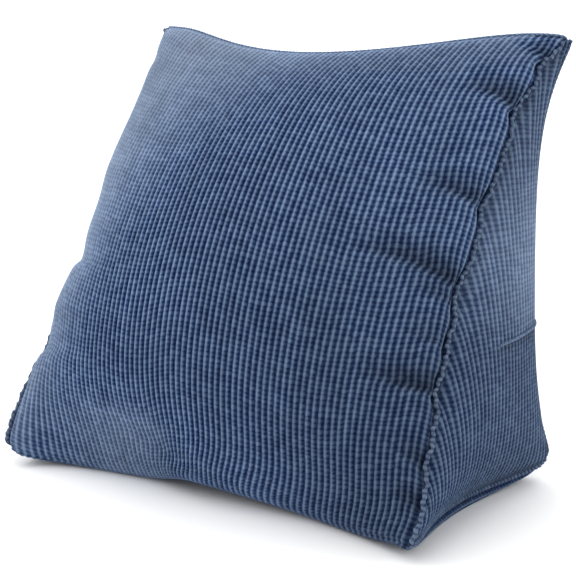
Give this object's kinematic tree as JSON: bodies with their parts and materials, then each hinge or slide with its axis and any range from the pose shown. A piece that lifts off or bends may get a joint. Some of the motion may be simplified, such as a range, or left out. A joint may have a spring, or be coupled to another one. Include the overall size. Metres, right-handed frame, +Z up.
{
  "type": "wedge backrest pillow",
  "caption": "Plump wedge backrest cushion with a slanting ribbed corduroy face, triangular side panels and a flat base, to sit up against on a bed or sofa.",
  "frame": {"origin": "on the surface, under the middle of the whole pillow's box", "axes": "+Z up, +X across the width towards the side panel at the right of a viewer facing the slanting face, +Y from the front edge to the upright back"},
  "size_m": [0.4506, 0.2788, 0.4],
  "materials": {
    "corduroy": "soft ribbed chenille corduroy, dusty blue",
    "corduroy_strip": "the same corduroy cut as a narrow strip"
  },
  "bodies": {
    "root": {"cushion": "corduroy", "closure_strip": "corduroy_strip"}
  },
  "joints": []
}
